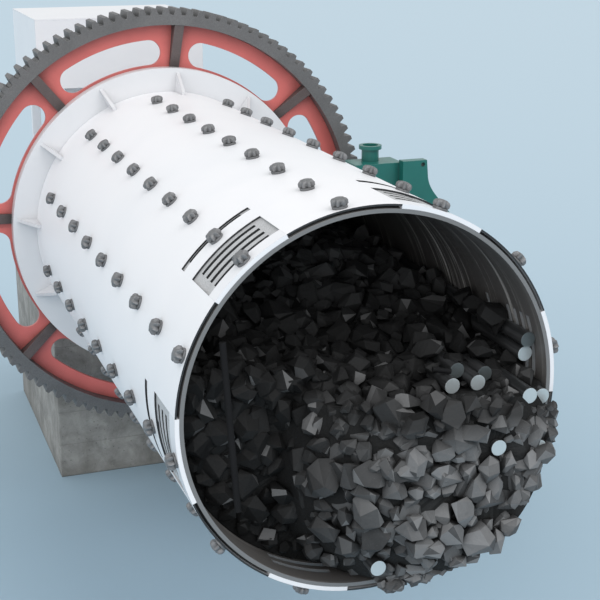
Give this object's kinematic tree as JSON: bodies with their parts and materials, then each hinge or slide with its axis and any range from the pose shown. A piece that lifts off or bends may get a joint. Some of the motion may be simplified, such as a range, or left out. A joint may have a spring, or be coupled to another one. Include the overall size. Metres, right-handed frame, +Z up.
{
  "type": "rod mill",
  "caption": "Rod mill with a rotating drum cut open at its discharge end, ring gear, pinion drive, feed box and concrete foundations.",
  "frame": {"origin": "middle of the concrete pedestal's underside, at ground level, under the drum axis", "axes": "+Z up; +Y along the drum towards the feed end; +X towards the drive side"},
  "size_m": [4.0875, 7.394, 4.0524],
  "materials": {
    "concrete": "rough",
    "white_paint": "gloss",
    "liner_steel": "worn",
    "grate_steel": "worn",
    "packing_rubber": "matte",
    "gear_steel": "machined",
    "red_paint": "satin",
    "green_paint": "satin",
    "machined_steel": "machined",
    "ore": "rough",
    "rod_steel": "worn"
  },
  "bodies": {
    "root": {"concrete_pedestal": "concrete", "drive_plinth": "concrete", "feed_box": "white_paint", "feed_box_lid": "white_paint", "feed_chute": "white_paint", "feed_legs": "white_paint", "feed_spout": "white_paint", "grinding_rods": "rod_steel", "main_bearing_base": "green_paint", "main_bearing_cap": "green_paint", "motor": "green_paint", "motor_stand": "green_paint", "ore_heap": "ore", "pinion_bearing_front": "green_paint", "pinion_bearing_rear": "green_paint", "reducer_base": "green_paint", "reducer_cap": "green_paint", "reducer_cover": "green_paint"},
    "drum": {"end_flange": "white_paint", "feed_head": "white_paint", "feed_trunnion": "machined_steel", "gear_ribs": "gear_steel", "gear_rim_1": "gear_steel", "gear_rim_2": "gear_steel", "gear_web_1": "red_paint", "gear_web_2": "red_paint", "grate_panels": "grate_steel", "liner_plate_1": "liner_steel", "liner_plate_2": "liner_steel", "liner_plate_3": "liner_steel", "liner_plate_4": "liner_steel", "liner_plate_5": "liner_steel", "liner_plate_6": "liner_steel", "packing_sheets": "packing_rubber", "rim_blocks": "white_paint", "shell_plate_1": "white_paint", "shell_plate_2": "white_paint", "shell_plate_3": "white_paint", "shell_plate_4": "white_paint", "shell_plate_5": "white_paint", "shell_plate_6": "white_paint"},
    "pinion": {"pinion_gear": "gear_steel", "pinion_shaft": "machined_steel", "pinion_coupling": "machined_steel"}
  },
  "joints": [
    {"name": "drum_spin", "type": "hinge", "parent": "root", "child": "drum", "pos_m": [0, 0, 2.365], "axis": [0, 1, 0], "continuous": true},
    {"name": "pinion_spin", "type": "hinge", "parent": "root", "child": "pinion", "pos_m": [1.94992, 0, 2.02118], "axis": [0, 1, 0], "continuous": true}
  ],
  "couplings": [
    {"joint": "pinion_spin", "follows": "drum_spin", "ratio": -5.2857}
  ]
}
